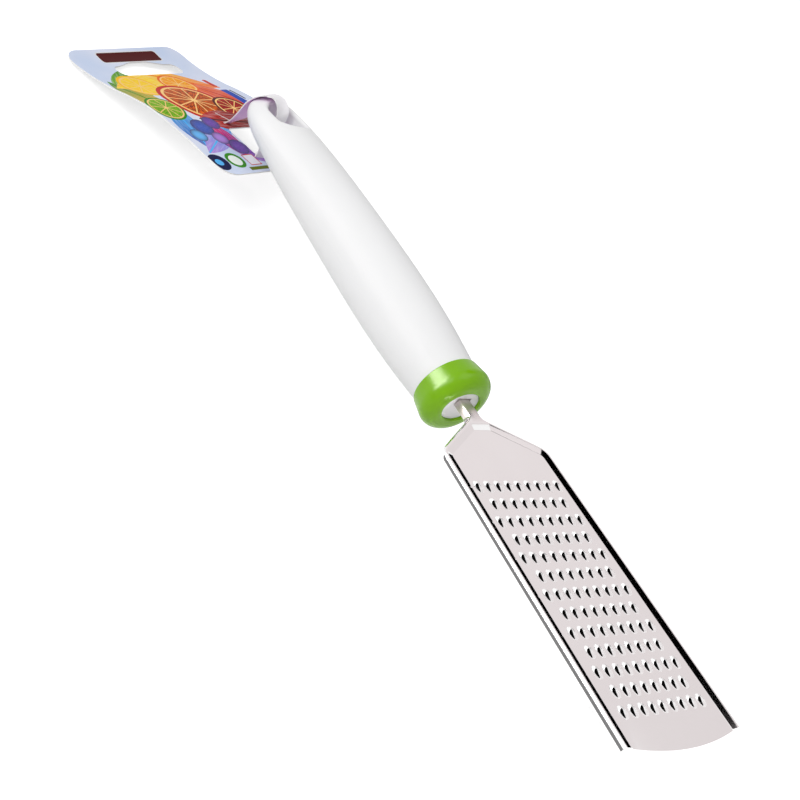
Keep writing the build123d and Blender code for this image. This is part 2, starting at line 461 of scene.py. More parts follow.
def filled_plane(outline, holes, extra):
    """Triangles over an outline and extra points, less the holes: (points, triangles)."""
    points, edges = [], []
    for loop in [outline] + holes:
        first = len(points)
        points += loop
        edges += [(first + i, first + (i + 1) % len(loop)) for i in range(len(loop))]
    whole = [list(range(len(outline)))]
    made, _, triangles, _, _, _ = delaunay_2d_cdt(points + extra, edges, whole, 1, MERGE_FILL)
    kept = []
    for triangle in triangles:
        middle = sum((made[i] for i in triangle), Vector((0, 0))) / len(triangle)
        if not any(within(middle, hole) for hole in holes):
            kept.append(tuple(triangle))
    return made, kept


# Blade


SHOULDER_ANGLE = math.radians(30.5)
NECK_ROUND, SHOULDER_ROUND, PANEL_ROUND = 2.5 * MM, 6.0 * MM, 2.2 * MM
ARC_STEPS = 10
SIDE_STEPS = 12
TANG_STEPS = 30
# Across the rim from the flange's lower edge: inset from the outline and height, in millimetres
FLANGE_PROFILE = (
    (0.0, 0.2), (0.0, 0.75), (0.16, 1.55), (0.2, 1.75), (0.26, 2.05),
    (0.36, 2.3), (0.5, 2.47), (0.62, 2.575), (1.2, 2.6),
)
# From the rim's crest down to the panel: share of the slope's width, height in millimetres
SLOPE_PROFILE = (
    (1.0, 2.6), (0.97, 2.596), (0.93, 2.575), (0.7, 2.43), (0.4, 2.24),
    (0.1, 2.05), (0.05, 2.015), (0.0, 2.003), (-0.06, 2.0),
)
SLOPE_WIDTH = 2.6 * MM
RECESS_INSET = 3.8 * MM
RAMP_LENGTH = 2.8 * MM
# Where the shoulder's samples start, the same x at every inset
JOIN_X = 5.4 * MM
# Extra points on the tang's top, in millimetres, and its arch, which fades out at the neck
RIDGE_ACROSS = (-1.2, -0.6, 0.0, 0.6, 1.2)
RIDGE_ALONG = range(85, 144)
TANG_ARCH = 0.45 * MM
ARCH_AHEAD, ARCH_FADE = 1.5 * MM, 4 * MM
# The plain end's outline bows out by this much
END_BOW = 3.0 * MM
END_STEPS = 12


def rounded_path(start, corner, end, radius):
    """Points from start to end round a corner, the same count for every inset."""
    into = (corner - start).normalized()
    out = (end - corner).normalized()
    turn = into.angle_signed(out)
    first = corner - into * (radius * math.tan(abs(turn) / 2))
    centre = first + Vector((-into.y, into.x)) * (-math.copysign(radius, turn))
    spins = [Matrix.Rotation(-turn * step / ARC_STEPS, 2) for step in range(ARC_STEPS + 1)]
    return [start] + [centre + spin @ (first - centre) for spin in spins] + [end]


def offset_line(start, direction, inset):
    """A line moved to its left side by inset."""
    direction = Vector(direction).normalized()
    return Vector(start) + Vector((-direction.y, direction.x)) * inset, direction


def cross_point(first, second):
    """Where two lines, each a point and a direction, cross."""
    (a, d), (b, e) = first, second
    share = ((b - a).x * e.y - (b - a).y * e.x) / (d.x * e.y - d.y * e.x)
    return a + d * share


def line_at(line, axis, value):
    """The point of a line whose x, axis 0, or y, axis 1, is value."""
    start, direction = line
    return start + direction * ((value - start[axis]) / direction[axis])


def outline_lines(inset):
    """The blade's right-hand outline, drawn in by inset: lines of tang, shoulder, long side."""
    blade = settings().blade
    neck = Vector((blade.tang_half, blade.neck))
    slope = (math.cos(SHOULDER_ANGLE), math.sin(SHOULDER_ANGLE))
    rise = (blade.shoulder_half - blade.tang_half) * math.tan(SHOULDER_ANGLE)
    shoulder = Vector((blade.shoulder_half, blade.neck + rise))
    end = Vector((blade.end_half, blade.flange_end))
    return (
        offset_line((blade.tang_half, blade.tang_back), (0, 1), inset),
        offset_line(neck, slope, inset),
        offset_line(shoulder, end - shoulder, inset),
    )


def rim_path(inset):
    """The right half of the outline at one inset, from the tang's back end to the flange's."""
    tang, shoulder, _ = outline_lines(inset)
    path = rounded_path(
        line_at(tang, 1, settings().blade.tang_back),
        cross_point(tang, shoulder),
        line_at(shoulder, 0, JOIN_X),
        NECK_ROUND + inset,
    )
    back = [path[0].lerp(path[1], step / TANG_STEPS) for step in range(TANG_STEPS)]
    return back + path[1:] + shoulder_path(inset)


def shoulder_path(inset):
    """The shoulder's rounding and the long side at one inset, after the join point."""
    _, shoulder, side = outline_lines(inset)
    path = rounded_path(
        line_at(shoulder, 0, JOIN_X),
        cross_point(shoulder, side),
        line_at(side, 1, settings().blade.flange_end),
        SHOULDER_ROUND - inset,
    )
    last, end = path[-2:]
    return path[1:-1] + [last.lerp(end, step / SIDE_STEPS) for step in range(1, SIDE_STEPS + 1)]


def recess_path(share):
    """The right half of the panel's edge, share of the way up its slope, from the middle on."""
    inset = RECESS_INSET - SLOPE_WIDTH * share
    top_y = settings().blade.recess_start - RAMP_LENGTH * share
    shoulder = outline_lines(inset)[1]
    middle, corner = Vector((0.0, top_y)), line_at(shoulder, 1, top_y)
    path = rounded_path(middle, corner, line_at(shoulder, 0, JOIN_X), PANEL_ROUND)
    return path + shoulder_path(inset)


def grid_faces(rows, width):
    """Quads between neighbouring rows of width points."""
    starts = [row * width + i for row in range(rows - 1) for i in range(width - 1)]
    return [(a, a + 1, a + width + 1, a + width) for a in starts]


def strips(paths, heights):
    """Quads between neighbouring paths of equal length, at their heights, for both halves."""
    right = [(p.x, p.y, height) for path, height in zip(paths, heights) for p in path]
    faces = grid_faces(len(paths), len(paths[0]))
    shift = len(right)
    left = [(-x, y, z) for x, y, z in right]
    return right + left, faces + [tuple(i + shift for i in reversed(face)) for face in faces]


def tooth_centres():
    """Where the teeth stand, row by row."""
    tooth = settings().tooth
    centres = []
    for row in range(tooth.rows):
        in_row = tooth.in_row - row % 2
        for column in range(in_row):
            x = (column - (in_row - 1) / 2) * tooth.column_pitch
            centres.append((x, tooth.first_row + row * tooth.row_pitch))
    return centres


FOOT_STEPS = 20
FOOT_TURNS = [2 * math.pi * step / FOOT_STEPS for step in range(FOOT_STEPS)]


def foot_ring(x, y):
    """An oval of points round a tooth's foot."""
    wide, long = settings().tooth.half_width, settings().tooth.half_length
    return [Vector((x + wide * math.cos(t), y + long * math.sin(t))) for t in FOOT_TURNS]


def blade_sheet():
    """The blade's upper skin: rim, slope, crest round the tang and the panel with its openings."""
    blade = settings().blade
    vertices, faces = [], []

    def take(more_vertices, more_faces):
        """Adds vertices and faces to the skin."""
        shift = len(vertices)
        vertices.extend(more_vertices)
        faces.extend([tuple(i + shift for i in face) for face in more_faces])

    def take_flat(half, holes, extra, height):
        """Fills a right half of an outline and its mirror image at a height."""
        loop = half + [Vector((-p.x, p.y)) for p in reversed(half) if abs(p.x) > TINY]
        points, triangles = filled_plane(loop, holes, extra)
        take([(p.x, p.y, height) for p in points], triangles)

    rims = [rim_path(inset * MM) for inset, _ in FLANGE_PROFILE]
    take(*strips(rims, [height * MM for _, height in FLANGE_PROFILE]))
    slopes = [recess_path(share) for share, _ in SLOPE_PROFILE]
    take(*strips(slopes, [height * MM for _, height in SLOPE_PROFILE]))
    outer = rims[-1][: TANG_STEPS + ARC_STEPS + 2]
    inner = slopes[0][: ARC_STEPS + 2]
    ridge = [Vector((x * MM, y * MM)) for y in RIDGE_ALONG for x in RIDGE_ACROSS]
    take_flat(outer + inner[::-1], [], ridge, FLANGE_PROFILE[-1][1] * MM)
    edge = slopes[-1]
    shares = [1 - step / END_STEPS for step in range(END_STEPS + 1)]
    arc = [Vector((edge[-1].x * s, blade.tongue_end - END_BOW * s * s)) for s in shares]
    holes = [foot_ring(x, y) for x, y in tooth_centres()]
    take_flat(edge + arc, holes, [], blade.panel_height)
    return [arched(*v) for v in vertices], faces


def arched(x, y, z):
    """A point of the sheet with the tang's top arched between its walls."""
    blade = settings().blade
    if z < blade.panel_height or abs(x) > blade.tang_half:
        return (x, y, z)
    fade = min(max((blade.neck + ARCH_AHEAD - y) / ARCH_FADE, 0.0), 1.0)
    share = 1 - (x / blade.tang_half) ** 2
    return (x, y, z + TANG_ARCH * fade * share)


def make_blade():
    """The stamped sheet as one piece of even thickness."""
    name = "rasp_blade_sheet"
    mesh = new_mesh(name, *blade_sheet(), [steel_material("Polished Steel", 0.0)])
    merge_close(mesh)
    piece = linked(name, mesh)
    sheet = settings().blade.sheet
    thicken(piece, sheet, -1.0, use_even_offset=True, thickness_clamp=0.0)
    finish_piece(piece, "zester", "rasp_blade")


# Teeth


# The lip as shares of the foot: half widths at its rear and front, half length, shifts
LIP_REAR, LIP_FRONT, LIP_LONG = 0.42, 0.27, 0.62
LIP_FORWARD, LIP_ASIDE = 0.20, 0.28
# The lip's height as shares of the tooth's, low and added, and the turn of its highest point
LIP_LOW, LIP_ADDED, LIP_TURN = 0.04, 0.96, 0.25
# Rings from the foot up to the lip: share of the way, share of the lip's height
HOOD_RINGS = ((0.0, 0.0), (0.04, 0.0), (0.22, 0.34), (0.50, 0.74), (0.80, 0.95), (1.0, 1.0))
# Inside the lip: in and down as shares of the wall, then the throat's height as a share of the
# lip's, and how far its foot lies in and aside as shares of the lip's front
WALL_IN, WALL_DOWN, THROAT_LIFT, THROAT_IN, THROAT_ASIDE = 0.3, 0.4, 0.4, 0.5, 0.45


def tooth_mesh():
    """One tooth round the origin: a hood that rises to the back, open in its front half."""
    tooth, sheet = settings().tooth, settings().blade.sheet
    wide, long, wall = tooth.half_width, tooth.half_length, tooth.wall
    lip_front = LIP_FRONT * wide

    def ring(share, lift, shrink=0.0, drop=0.0, aside=0.0):
        """A ring share of the way from the foot to the lip, at lift of the lip's height."""
        points = []
        for turn in FOOT_TURNS:
            rear = 0.5 - 0.5 * math.sin(turn)
            lip_wide = lip_front + (LIP_REAR * wide - lip_front) * rear
            half_w = wide + (lip_wide - wide) * share - shrink
            half_l = long + (LIP_LONG * long - long) * share - shrink
            back = max(0.0, -math.sin(turn + LIP_TURN))
            lip_height = tooth.height * (LIP_LOW + LIP_ADDED * back**2)
            x = half_w * math.cos(turn) + LIP_ASIDE * wide * share + aside
            y = half_l * math.sin(turn) + LIP_FORWARD * long * share
            points.append((x, y, lip_height * lift - drop))
        return points

    rings = [ring(share, lift) for share, lift in HOOD_RINGS] + [
        ring(1.0, 1.0, wall * WALL_IN, wall * WALL_DOWN),
        ring(1.0, THROAT_LIFT, wall * WALL_IN, wall),
        ring(1.0, 0.0, lip_front * THROAT_IN, sheet, lip_front * THROAT_ASIDE),
        ring(0.0, 0.0, 0.0, sheet),
    ]
    faces = []
    for a in range(0, (len(rings) - 1) * FOOT_STEPS, FOOT_STEPS):
        for i in range(FOOT_STEPS):
            j = (i + 1) % FOOT_STEPS
            faces.append((a + i, a + j, a + FOOT_STEPS + j, a + FOOT_STEPS + i))
    # The rings inside the lip get the second material, the painted shade of the openings
    materials = [steel_material("Punched Steel", 0.3), opening_shade_material()]
    mesh = new_mesh("Tooth", [p for points in rings for p in points], faces, materials)
    for polygon in mesh.polygons:
        polygon.material_index = int(polygon.index >= (len(HOOD_RINGS) - 1) * FOOT_STEPS)
    return mesh


TEETH_INPUTS = {
    "Tooth": "Object", "Rows": "Int", "Teeth in Row": "Int", "Column Pitch": "Float",
    "Row Pitch": "Float", "First Row": "Float", "Panel Height": "Float",
}


def teeth_tree():
    """Geometry Nodes: a staggered grid of one tooth, made real."""
    outputs = {"Geometry": "Geometry"}
    tree, given = new_tree("Rasp Teeth", "GeometryNodeTree", TEETH_INPUTS, outputs)
    rows, in_row, pitch = given["Rows"], given["Teeth in Row"], given["Column Pitch"]
    span = (rows - 1.0) * given["Row Pitch"]
    wide = (in_row - 1.0) * pitch
    size = {"Vertices X": in_row, "Vertices Y": rows, "Size X": wide, "Size Y": span}
    grid = wire(tree, "GeometryNodeMeshGrid", size)
    index = wire(tree, "GeometryNodeInputIndex")
    odd = index % rows % 2.0
    spare = (maths("FLOOR", index / rows) > in_row - 1.5) * odd
    middle = span * 0.5 + given["First Row"]
    step = {"X": odd * 0.5 * pitch, "Y": middle, "Z": given["Panel Height"]}
    shift = wire(tree, "ShaderNodeCombineXYZ", step)
    moved = wire(tree, "GeometryNodeSetPosition", {"Geometry": grid, "Offset": shift})
    chosen = {"Geometry": moved, "Selection": spare}
    kept = wire(tree, "GeometryNodeDeleteGeometry", chosen, domain="POINT")
    source = wire(tree, "GeometryNodeObjectInfo", {"Object": given["Tooth"]}, "Geometry")
    placed = wire(tree, "GeometryNodeInstanceOnPoints", {"Points": kept, "Instance": source})
    real = wire(tree, "GeometryNodeRealizeInstances", {"Geometry": placed})
    hood = wire(tree, "GeometryNodeInputMaterialIndex") < 0.5
    steel = bpy.data.materials["Punched Steel"]
    look = {"Geometry": real, "Selection": hood, "Material": steel}
    dressed = wire(tree, "GeometryNodeSetMaterial", look)
    add_node(tree, "NodeGroupOutput", {0: dressed})
    return tree


def make_teeth():
    """All the teeth, from one tooth repeated over the staggered grid."""
    tooth = settings().tooth
    pattern = linked("tooth_pattern", tooth_mesh())
    piece = linked("rasp_teeth", bpy.data.meshes.new("rasp_teeth"))
    tree = teeth_tree()
    modifier = piece.modifiers.new("Teeth", "NODES")
    modifier.node_group = tree
    given = {
        "Tooth": pattern, "Rows": tooth.rows, "Teeth in Row": tooth.in_row,
        "Column Pitch": tooth.column_pitch, "Row Pitch": tooth.row_pitch,
        "First Row": tooth.first_row, "Panel Height": settings().blade.panel_height,
    }
    for item in tree.interface.items_tree:
        if item.in_out == "INPUT":
            modifier[item.identifier] = given[item.name]
    apply_modifiers(piece, TEETH_SHARP)
    bpy.data.objects.remove(pattern)
    finish_piece(piece, "zester", "rasp_blade")


# Hang tag


CARD_TURN = math.radians(15.4)
CARD_ORIGIN = Vector((0.0, -9.6 * MM, 0.0))
# Along the card from the far edge: place and height of its middle, in millimetres
CARD_CURVE = (
    (-70.0, -30.2), (-62.0, -29.9), (-52.0, -27.9), (-42.0, -24.8), (-33.0, -21.2),
    (-23.4, -18.1), (-13.0, -16.4), (-2.4, -15.0), (5.9, -14.3), (17.6, -12.9),
)
# The far corners' lift out of level, and how far along and across the card they lie
TWIST, TWIST_ALONG, TWIST_ACROSS = 0.6 * MM, 68 * MM, 31 * MM


def smooth_value(table, at):
    """A smooth curve through the table's points, read at a place."""
    xs = [row[0] for row in table]
    at = min(max(at, xs[0]), xs[-1])
    i = max(0, min(len(xs) - 2, bisect_right(xs, at) - 1))

    def slope(k):
        """The curve's slope at a point of the table."""
        low, high = max(k - 1, 0), min(k + 1, len(xs) - 1)
        return (table[high][1] - table[low][1]) / (xs[high] - xs[low])

    width = xs[i + 1] - xs[i]
    t = (at - xs[i]) / width
    a, b = table[i][1], table[i + 1][1]
    p, q = slope(i) * width, slope(i + 1) * width
    return (
        a * (1 + 2 * t) * (1 - t) ** 2
        + p * t * (1 - t) ** 2
        + b * t * t * (3 - 2 * t)
        + q * t * t * (t - 1)
    )


def on_card(across, along):
    """The card's lower face at a place on it, in metres."""
    height = smooth_value(CARD_CURVE, along / MM) * MM
    far = min(max(-along / TWIST_ALONG, 0.0), 1.0)
    height += TWIST * far * far * (-across / TWIST_ACROSS)
    side = Vector((math.cos(CARD_TURN), math.sin(CARD_TURN), 0.0))
    away = Vector((-math.sin(CARD_TURN), math.cos(CARD_TURN), 0.0))
    return CARD_ORIGIN + side * across + away * along + Vector((0, 0, height))


def dense(loop, spacing):
    """A loop with points added so that none lie further apart than spacing in millimetres."""
    out = []
    for a, b in zip(loop, loop[1:] + loop[:1]):
        parts = max(1, math.ceil((b - a).length / (spacing * MM)))
        out += [a.lerp(b, k / parts) for k in range(parts)]
    return out


def rounded_box(low, high, radius, spacing, steps=6):
    """A closed loop: a box with rounded corners, all given in millimetres."""
    low, high, radius = Vector(low) * MM, Vector(high) * MM, radius * MM
    corners = (
        (high[0] - radius, high[1] - radius),
        (low[0] + radius, high[1] - radius),
        (low[0] + radius, low[1] + radius),
        (high[0] - radius, low[1] + radius),
    )
    loop = []
    for turn, (x, y) in enumerate(corners):
        for step in range(steps + 1):
            angle = (turn + step / steps) * math.pi / 2
            loop.append(Vector((x + radius * math.cos(angle), y + radius * math.sin(angle))))
    return dense(loop, spacing)


def slot_between(start, end, width):
    """A closed loop round the line from start to end, given in millimetres."""
    start, end = Vector(start) * MM, Vector(end) * MM
    run = (end - start).normalized()
    side = Vector((-run.y, run.x)) * (width * MM / 2)
    return dense([start - side, end - side, end + side, start + side], 1.5)


# Boxes on the card: lowest and highest corner, rounding and spacing in millimetres
CARD_OUTLINE = ((-33.0, -68.3), (30.0, 17.2), 6.5, 2.5)
WINDOW_BOX = ((-12.0, -8.0), (3.5, 8.0), 1.5, 2.0)
SLOT_LOW, SLOT_HIGH, SLOT_ROUND, SLOT_SPACING = (-21.7, -57.5), (13.3, -50.5), 2.9, 1.2
WINDOW_STEPS = 4
# Slits in the card: from, to and width in millimetres
SLITS = (((0.2, -17.7), (-3.0, -12.9), 0.45), ((-2.1, -11.8), (1.9, -11.6), 0.9))
# The slot's hump: middle, half width and rise, the band of the slot that it moves, its slope
HUMP_X, HUMP_HALF, HUMP_RISE = -3.5 * MM, 13.0 * MM, 2.4 * MM
HUMP_BAND, HUMP_SLOPE = 1.0, 1.5


def slot_loop():
    """The hanging slot's outline with its hump."""
    out = []
    for point in rounded_box(SLOT_LOW, SLOT_HIGH, SLOT_ROUND, SLOT_SPACING):
        reach = abs(point.x - HUMP_X) / HUMP_HALF
        if point.y < (SLOT_LOW[1] + HUMP_BAND) * MM and reach < 1:
            point = Vector((point.x, point.y - HUMP_RISE * min(1.0, HUMP_SLOPE * (1 - reach))))
        out.append(point)
    return out


def card_plan():
    """The card's outline and its openings: slot, window, slit and the strap's slit."""
    window = rounded_box(*WINDOW_BOX, WINDOW_STEPS)
    slits = [slot_between(*slit) for slit in SLITS]
    return rounded_box(*CARD_OUTLINE), [slot_loop(), window] + slits


# Inner points of the card: spacing, columns, rows and least distance from an edge in spacings
GRID_SPACING = 2.4 * MM
GRID_COLUMNS, GRID_ROWS = range(-14, 14), range(-29, 8)
GRID_CLEAR = 0.6
# The print's UV: millimetres across one unit, and where the card's origin lies in it
PRINT_SPAN = 100
PRINT_ORIGIN = (0.5, 0.8)
PAPER_RELIEF = 0.05 * MM


def make_card():
    """The printed card: one bent sheet with its slot, window and slits."""
    tag = settings().tag
    outline, holes = card_plan()
    edge_points = outline + sum(holes, [])
    extra = []
    for i in GRID_COLUMNS:
        for j in GRID_ROWS:
            point = Vector((i * GRID_SPACING + (j % 2) * GRID_SPACING / 2, j * GRID_SPACING))
            near = min((point - p).length for p in edge_points)
            if within(point, outline) and near > GRID_CLEAR * GRID_SPACING:
                extra.append(point)
    points, triangles = filled_plane(outline, holes, extra)
    lift = Vector((0, 0, tag.card_thickness))
    vertices = [on_card(p.x, p.y) + lift for p in points]
    materials = [print_material(), card_back_material()]
    mesh = new_mesh("hang_tag_card", vertices, triangles, materials)
    piece = linked("hang_tag_card", mesh)
    layer = mesh.uv_layers.new(name="Print")
    for loop in mesh.loops:
        point = points[loop.vertex_index]
        layer.data[loop.index].uv = [
            point[axis] / MM / PRINT_SPAN + PRINT_ORIGIN[axis] for axis in (0, 1)
        ]
    thicken(piece, tag.card_thickness, -1.0, material_offset=1, material_offset_rim=1)
    finish_piece(piece, "tag", "hang_tag")


def card_back_material():
    """Unprinted white board."""
    material, tree, shader = new_material("Card Back")
    back = settings().tag.back
    fibre = noise(object_place(tree), scale=700.0, detail=4.0, roughness=0.6)
    set_inputs(shader, {
        "Base Color": mix(fibre, back, [0.93 * part for part in back]),
        "Roughness": 0.6,
        "Normal": bump(fibre, strength=0.1, distance=PAPER_RELIEF),
    })
    return material


# Printed motifs


def centre_reach(along, across):
    """Distance from a motif's centre."""
    return maths("SQRT", along * along + across * across)


def draw_bar(given, along, across):
    """A bar with rounded corners."""
    past = [
        maths("MAXIMUM", maths("ABSOLUTE", place) - (given[half] - given["Round"]), 0.0)
        for place, half in ((along, "Half Length"), (across, "Half Width"))
    ]
    ink = mix(plane_noise(along, across, scale=1.3) * 0.02, given["Ink"], 0.3)
    return centre_reach(*past) < given["Round"], ink


PITH = (0.93, 0.60, 0.22)
# Half width of the membranes between segments, then shares of the radius: core, pith, rind
MEMBRANE, CORE_SHARE, PITH_FROM, RIND_FROM = 0.035, 0.10, 0.80, 0.88
# Whole segments added so that none is counted below nought
SPARE_SEGMENTS = 20.0


def draw_slice(given, along, across):
    """A cut citrus fruit with rind, pith, membranes and pulp."""
    share = centre_reach(along, across) / given["Radius"]
    wedge = maths("ARCTAN2", across, along) / (2 * math.pi) * given["Segments"]
    middle = maths("FRACT", wedge + SPARE_SEGMENTS) - 0.5
    gap = (0.5 - maths("ABSOLUTE", middle)) * share
    fibre = plane_noise(wedge * 7.0, share * 4.0, scale=1.6)
    flesh = mix(ramp(fibre, ((0.36, 0.0), (0.62, 1.0))), given["Deep"], given["Pulp"])
    for pith_mask in (gap < MEMBRANE, share < CORE_SHARE, share > PITH_FROM):
        flesh = mix(pith_mask, flesh, PITH)
    return share < 1.0, mix(share > RIND_FROM, flesh, given["Rind"])


def draw_leaf(given, along, across):
    """A pointed leaf with a vein and a blend along its length."""
    run = along / given["Half Length"]
    side = maths("ABSOLUTE", across) / given["Half Width"]
    body = mix(maths("MULTIPLY_ADD", run, 0.5, 0.5), given["Root"], given["Tip"])
    stroke = plane_noise(run * 1.2, side * 5.0, scale=2.0)
    body = mix(ramp(stroke, ((0.45, 0.0), (0.7, 0.3))), body, 0.92)
    return side < 1.0 - run * run, mix(side < 0.07, body, given["Root"])


def draw_berry(given, along, across):
    """A round berry, darker at its rim, with a soft bloom."""
    share = centre_reach(along, across) / given["Radius"]
    body = mix(maths("POWER", share, 3.0), given["Ink"], (0.02, 0.01, 0.08))
    bloom = plane_noise(along, across, scale=0.9)
    return share < 1.0, mix(bloom * 0.2, body, (0.6, 0.65, 0.95))


# Kinds of motif: name of the node group, its numbers, its inks and what draws it
BAR = ("Printed Bar", ("Half Length", "Half Width", "Round"), ("Ink",), draw_bar)
SLICE = ("Fruit Slice", ("Radius", "Segments"), ("Rind", "Pulp", "Deep"), draw_slice)
LEAF = ("Printed Leaf", ("Half Length", "Half Width"), ("Root", "Tip"), draw_leaf)
BERRY = ("Printed Berry", ("Radius",), ("Ink",), draw_berry)
PLACE_INPUTS = ("U", "L", "Centre U", "Centre L", "Turn")

YELLOW, LEMON, ORANGE = (0.92, 0.50, 0.005), (0.95, 0.70, 0.04), (0.82, 0.13, 0.004)
RED, DARK_RED, PINK = (0.55, 0.015, 0.01), (0.075, 0.002, 0.003), (0.72, 0.015, 0.16)
GREEN, LIME = (0.035, 0.24, 0.008), (0.30, 0.55, 0.015)
SKY, BLUE, NAVY = (0.10, 0.45, 0.88), (0.012, 0.06, 0.42), (0.006, 0.01, 0.06)
PURPLE, LILAC, OLIVE = (0.13, 0.02, 0.34), (0.42, 0.20, 0.66), (0.14, 0.18, 0.01)
SILVER, MINT = (0.75, 0.74, 0.74), (0.85, 0.9, 0.85)
PALE, SLIT_HIGHLIGHT = (0.80, 0.80, 0.86), (0.95, 0.93, 0.85)

# Motifs in the order they are laid: kind, centre on the card in millimetres, turn in degrees,
# the kind's numbers and its inks
MOTIFS = (
    (LEAF, 19.0, -42.0, 52, (17.0, 7.5), (GREEN, LIME)),
    (LEAF, 24.5, -31.0, 100, (16.0, 6.0), (GREEN, YELLOW)),
    (LEAF, 9.0, -45.0, 12, (20.0, 6.0), (LEMON, YELLOW)),
    (LEAF, -9.0, -45.5, -28, (19.0, 6.0), (ORANGE, LEMON)),
    (LEAF, -17.5, -30.0, -58, (19.0, 6.5), (RED, ORANGE)),
    (LEAF, 22.0, -12.0, 80, (14.0, 6.0), (SKY, BLUE)),
    (LEAF, 14.0, -3.0, 30, (15.0, 5.0), (SKY, LILAC)),
    (LEAF, 4.0, 6.5, 150, (12.0, 4.5), (PURPLE, LILAC)),
    (LEAF, -16.0, -8.0, -80, (13.0, 5.0), (PINK, RED)),
    (SLICE, 15.0, -41.5, 10, (9.0, 10), (YELLOW, LEMON, YELLOW)),
    (SLICE, 22.5, -23.0, 25, (8.0, 9), (GREEN, LIME, GREEN)),
    (SLICE, -6.5, -41.5, 0, (8.0, 9), (ORANGE, YELLOW, ORANGE)),
    (SLICE, 2.0, -27.0, 15, (14.0, 11), (RED, ORANGE, DARK_RED)),
    (SLICE, -13.5, -20.0, 40, (8.5, 10), (DARK_RED, RED, DARK_RED)),
    (LEAF, -2.5, -12.5, -10, (15.0, 6.5), (DARK_RED, RED)),
    (LEAF, 9.5, -2.0, 95, (12.0, 4.5), (PINK, PURPLE)),
    (BERRY, 16.0, -10.0, 0, (4.8,), (BLUE,)),
    (BERRY, 9.0, -12.0, 0, (3.8,), (PURPLE,)),
    (BERRY, 22.5, -5.5, 0, (3.6,), (SKY,)),
    (BERRY, 13.0, -3.0, 0, (3.6,), (LILAC,)),
    (BERRY, 8.0, 2.5, 0, (4.2,), (PURPLE,)),
    (BAR, -2.0, -63.2, 0, (17.0, 3.3, 1.6), (SILVER,)),
    (BAR, -2.0, -63.2, 0, (16.5, 2.9, 1.3), (DARK_RED,)),
    (BAR, -24.5, -41.0, 90, (3.2, 1.1, 0.5), (RED,)),
    (BAR, -24.5, -28.5, 90, (6.0, 2.0, 0.6), (BLUE,)),
    (BAR, -27.6, -30.0, 90, (4.0, 0.5, 0.3), (NAVY,)),
    (BAR, 27.0, 9.8, 0, (4.6, 4.6, 4.5), (NAVY,)),
    (BAR, 27.0, 9.8, 0, (1.8, 1.8, 1.7), (SKY,)),
    (BAR, 17.7, 9.6, 0, (4.3, 4.3, 4.2), (GREEN,)),
    (BAR, 17.7, 9.6, 0, (2.9, 2.9, 2.8), (MINT,)),
    (BAR, 8.8, 10.0, 0, (3.1, 3.1, 0.3), (RED,)),
    (BAR, 8.8, 10.0, 0, (2.7, 2.7, 0.3), (PALE,)),
    (BAR, 7.7, 14.9, 0, (7.0, 0.9, 0.2), (OLIVE,)),
    # Painted highlight: a thin pale line along the first slit's edge
    (BAR, -1.3, -15.4, 122.7, (2.8, 0.25, 0.2), (SLIT_HIGHLIGHT,)),
)


def motif_group(kind):
    """Node group of one kind of motif, laid over the colour under it."""
    name, numbers, inks, draw = kind

    def lay(given):
        """The motif in its own place: along and across from its centre, turned by its angle."""
        du, dl = given["U"] - given["Centre U"], given["L"] - given["Centre L"]
        cos, sin = maths("COSINE", given["Turn"]), maths("SINE", given["Turn"])
        mask, ink = draw(given, du * cos + dl * sin, dl * cos - du * sin)
        return {"Color": mix(mask, given["Under"], ink)}

    inputs = dict.fromkeys(PLACE_INPUTS + numbers, "Float")
    inputs.update(dict.fromkeys(inks + ("Under",), "Color"))
    return shader_group(name, inputs, {"Color": "Color"}, lay)


def lay_motif(u, l, under, motif):
    """Lays one printed motif over what is under it."""
    kind, centre_u, centre_l, turn, numbers, inks = motif
    place = (u, l, centre_u, centre_l, math.radians(turn))
    labels = PLACE_INPUTS + kind[1] + kind[2] + ("Under",)
    values = dict(zip(labels, place + numbers + inks + (under,)))
    return wire(u.tree, "ShaderNodeGroup", values, "Color", node_tree=motif_group(kind))


def print_material():
    """The card's print, drawn in its own plane: u and l in millimetres from the UV map."""
    tag = settings().tag
    material, tree, shader = new_material("Card Print")
    place = wire(tree, "ShaderNodeUVMap", uv_map="Print")
    split = add_node(tree, "ShaderNodeSeparateXYZ", {0: place}).outputs
    u, l = ((Wire(split[axis]) - PRINT_ORIGIN[axis]) * PRINT_SPAN for axis in (0, 1))
    cloud = ramp(plane_noise(u, l, scale=0.03, detail=2.0), ((0.35, 0.0), (0.65, 1.0)))
    shade = mix(cloud, tag.ground, tag.ground_pale)
    for motif in MOTIFS:
        shade = lay_motif(u, l, shade, motif)
    dot = plane_noise(u, l, scale=2.5, detail=2.0)
    set_inputs(shader, {
        "Base Color": mix(dot * 0.005, shade, 1.0),
        "Roughness": maths("MULTIPLY_ADD", dot, 0.08, 0.32),
        "Specular IOR Level": 0.02,
        "Normal": bump(dot, strength=0.03, distance=PAPER_RELIEF),
    })
    return material


# Strap


